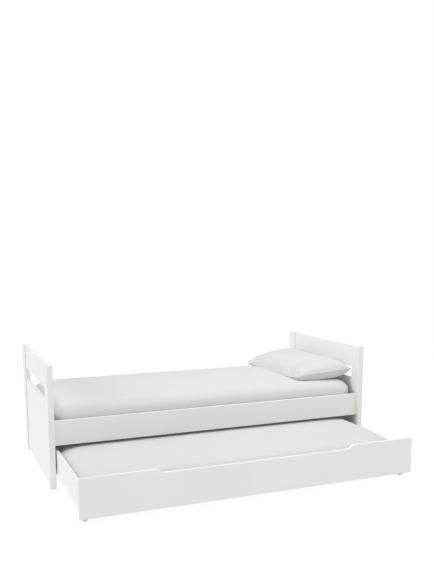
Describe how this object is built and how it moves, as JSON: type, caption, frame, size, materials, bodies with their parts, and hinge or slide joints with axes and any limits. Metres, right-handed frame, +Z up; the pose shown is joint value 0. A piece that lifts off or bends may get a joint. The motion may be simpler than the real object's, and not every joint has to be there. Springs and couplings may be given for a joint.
{
  "type": "trundle bed",
  "caption": "White painted single bed with low slotted ends, a slatted base, a mattress and a pillow, and a lower bed on castors that rolls out from under its front side.",
  "frame": {"origin": "on the floor, at the middle of the footprint with the trundle partly rolled out, as in the rest pose", "axes": "+X along the bed towards the head (pillow) end, -Y the way the trundle rolls out, +Z up"},
  "size_m": [2.074, 1.572, 0.716],
  "materials": {
    "white_paint": "satin white lacquer over solid wood and board",
    "bare_pine": "planed bare pine",
    "plywood": "sanded birch plywood",
    "tape_fabric": "woven cotton tape",
    "zinc_steel": "bright zinc plate",
    "glide_plastic": "grey moulded nylon",
    "wheel_plastic": "grey moulded nylon",
    "mattress_cotton": "plain white cotton sheet",
    "pillow_cotton": "plain white cotton pillowcase"
  },
  "bodies": {
    "bed": {"foot_post_front": "white_paint", "foot_post_rear": "white_paint", "head_post_front": "white_paint", "head_post_rear": "white_paint", "foot_top_rail": "white_paint", "head_top_rail": "white_paint", "foot_lower_panel": "white_paint", "head_lower_panel": "white_paint", "front_side_rail": "white_paint", "rear_side_rail": "white_paint", "front_slat_cleat": "bare_pine", "rear_slat_cleat": "bare_pine", "slat_01": "bare_pine", "slat_02": "bare_pine", "slat_03": "bare_pine", "slat_04": "bare_pine", "slat_05": "bare_pine", "slat_06": "bare_pine", "slat_07": "bare_pine", "slat_08": "bare_pine", "slat_09": "bare_pine", "slat_10": "bare_pine", "slat_11": "bare_pine", "slat_12": "bare_pine", "slat_tapes": "tape_fabric", "rail_bracket_foot_front": "zinc_steel", "rail_bracket_foot_rear": "zinc_steel", "rail_bracket_head_front": "zinc_steel", "rail_bracket_head_rear": "zinc_steel", "bracket_bolts": "zinc_steel", "end_frame_dowels": "bare_pine", "post_glides": "glide_plastic", "cleat_screws": "zinc_steel", "upper_mattress": "mattress_cotton", "pillow": "pillow_cotton"},
    "trundle": {"trundle_front_panel": "white_paint", "trundle_back_panel": "white_paint", "trundle_foot_side": "white_paint", "trundle_head_side": "white_paint", "trundle_front_cleat": "bare_pine", "trundle_back_cleat": "bare_pine", "trundle_bearer_1": "bare_pine", "trundle_bearer_2": "bare_pine", "trundle_bearer_3": "bare_pine", "trundle_bearer_4": "bare_pine", "trundle_base_board_1": "plywood", "trundle_base_board_2": "plywood", "trundle_base_board_3": "plywood", "trundle_cam_fittings": "zinc_steel", "castor_fork_foot_front": "zinc_steel", "castor_fork_foot_rear": "zinc_steel", "castor_fork_head_front": "zinc_steel", "castor_fork_head_rear": "zinc_steel", "castor_axles": "zinc_steel", "castor_screws": "zinc_steel", "trundle_mattress": "mattress_cotton"},
    "wheel_foot_front": {"castor_wheel_foot_front": "wheel_plastic"},
    "wheel_foot_rear": {"castor_wheel_foot_rear": "wheel_plastic"},
    "wheel_head_front": {"castor_wheel_head_front": "wheel_plastic"},
    "wheel_head_rear": {"castor_wheel_head_rear": "wheel_plastic"}
  },
  "joints": [
    {"name": "trundle_slide", "type": "slide", "parent": "bed", "child": "trundle", "axis": [0, -1, 0], "range_m": [-0.613, 0.36]},
    {"name": "wheel_spin_foot_front", "type": "hinge", "parent": "trundle", "child": "wheel_foot_front", "pos_m": [-0.9575, -0.727, 0.03], "axis": [1, 0, 0], "continuous": true},
    {"name": "wheel_spin_foot_rear", "type": "hinge", "parent": "trundle", "child": "wheel_foot_rear", "pos_m": [-0.9575, 0.101, 0.03], "axis": [1, 0, 0], "continuous": true},
    {"name": "wheel_spin_head_front", "type": "hinge", "parent": "trundle", "child": "wheel_head_front", "pos_m": [0.9575, -0.727, 0.03], "axis": [1, 0, 0], "continuous": true},
    {"name": "wheel_spin_head_rear", "type": "hinge", "parent": "trundle", "child": "wheel_head_rear", "pos_m": [0.9575, 0.101, 0.03], "axis": [1, 0, 0], "continuous": true}
  ],
  "couplings": [
    {"joint": "wheel_spin_foot_front", "follows": "trundle_slide", "rad_per_m": 33.333},
    {"joint": "wheel_spin_foot_rear", "follows": "trundle_slide", "rad_per_m": 33.333},
    {"joint": "wheel_spin_head_front", "follows": "trundle_slide", "rad_per_m": 33.333},
    {"joint": "wheel_spin_head_rear", "follows": "trundle_slide", "rad_per_m": 33.333}
  ]
}
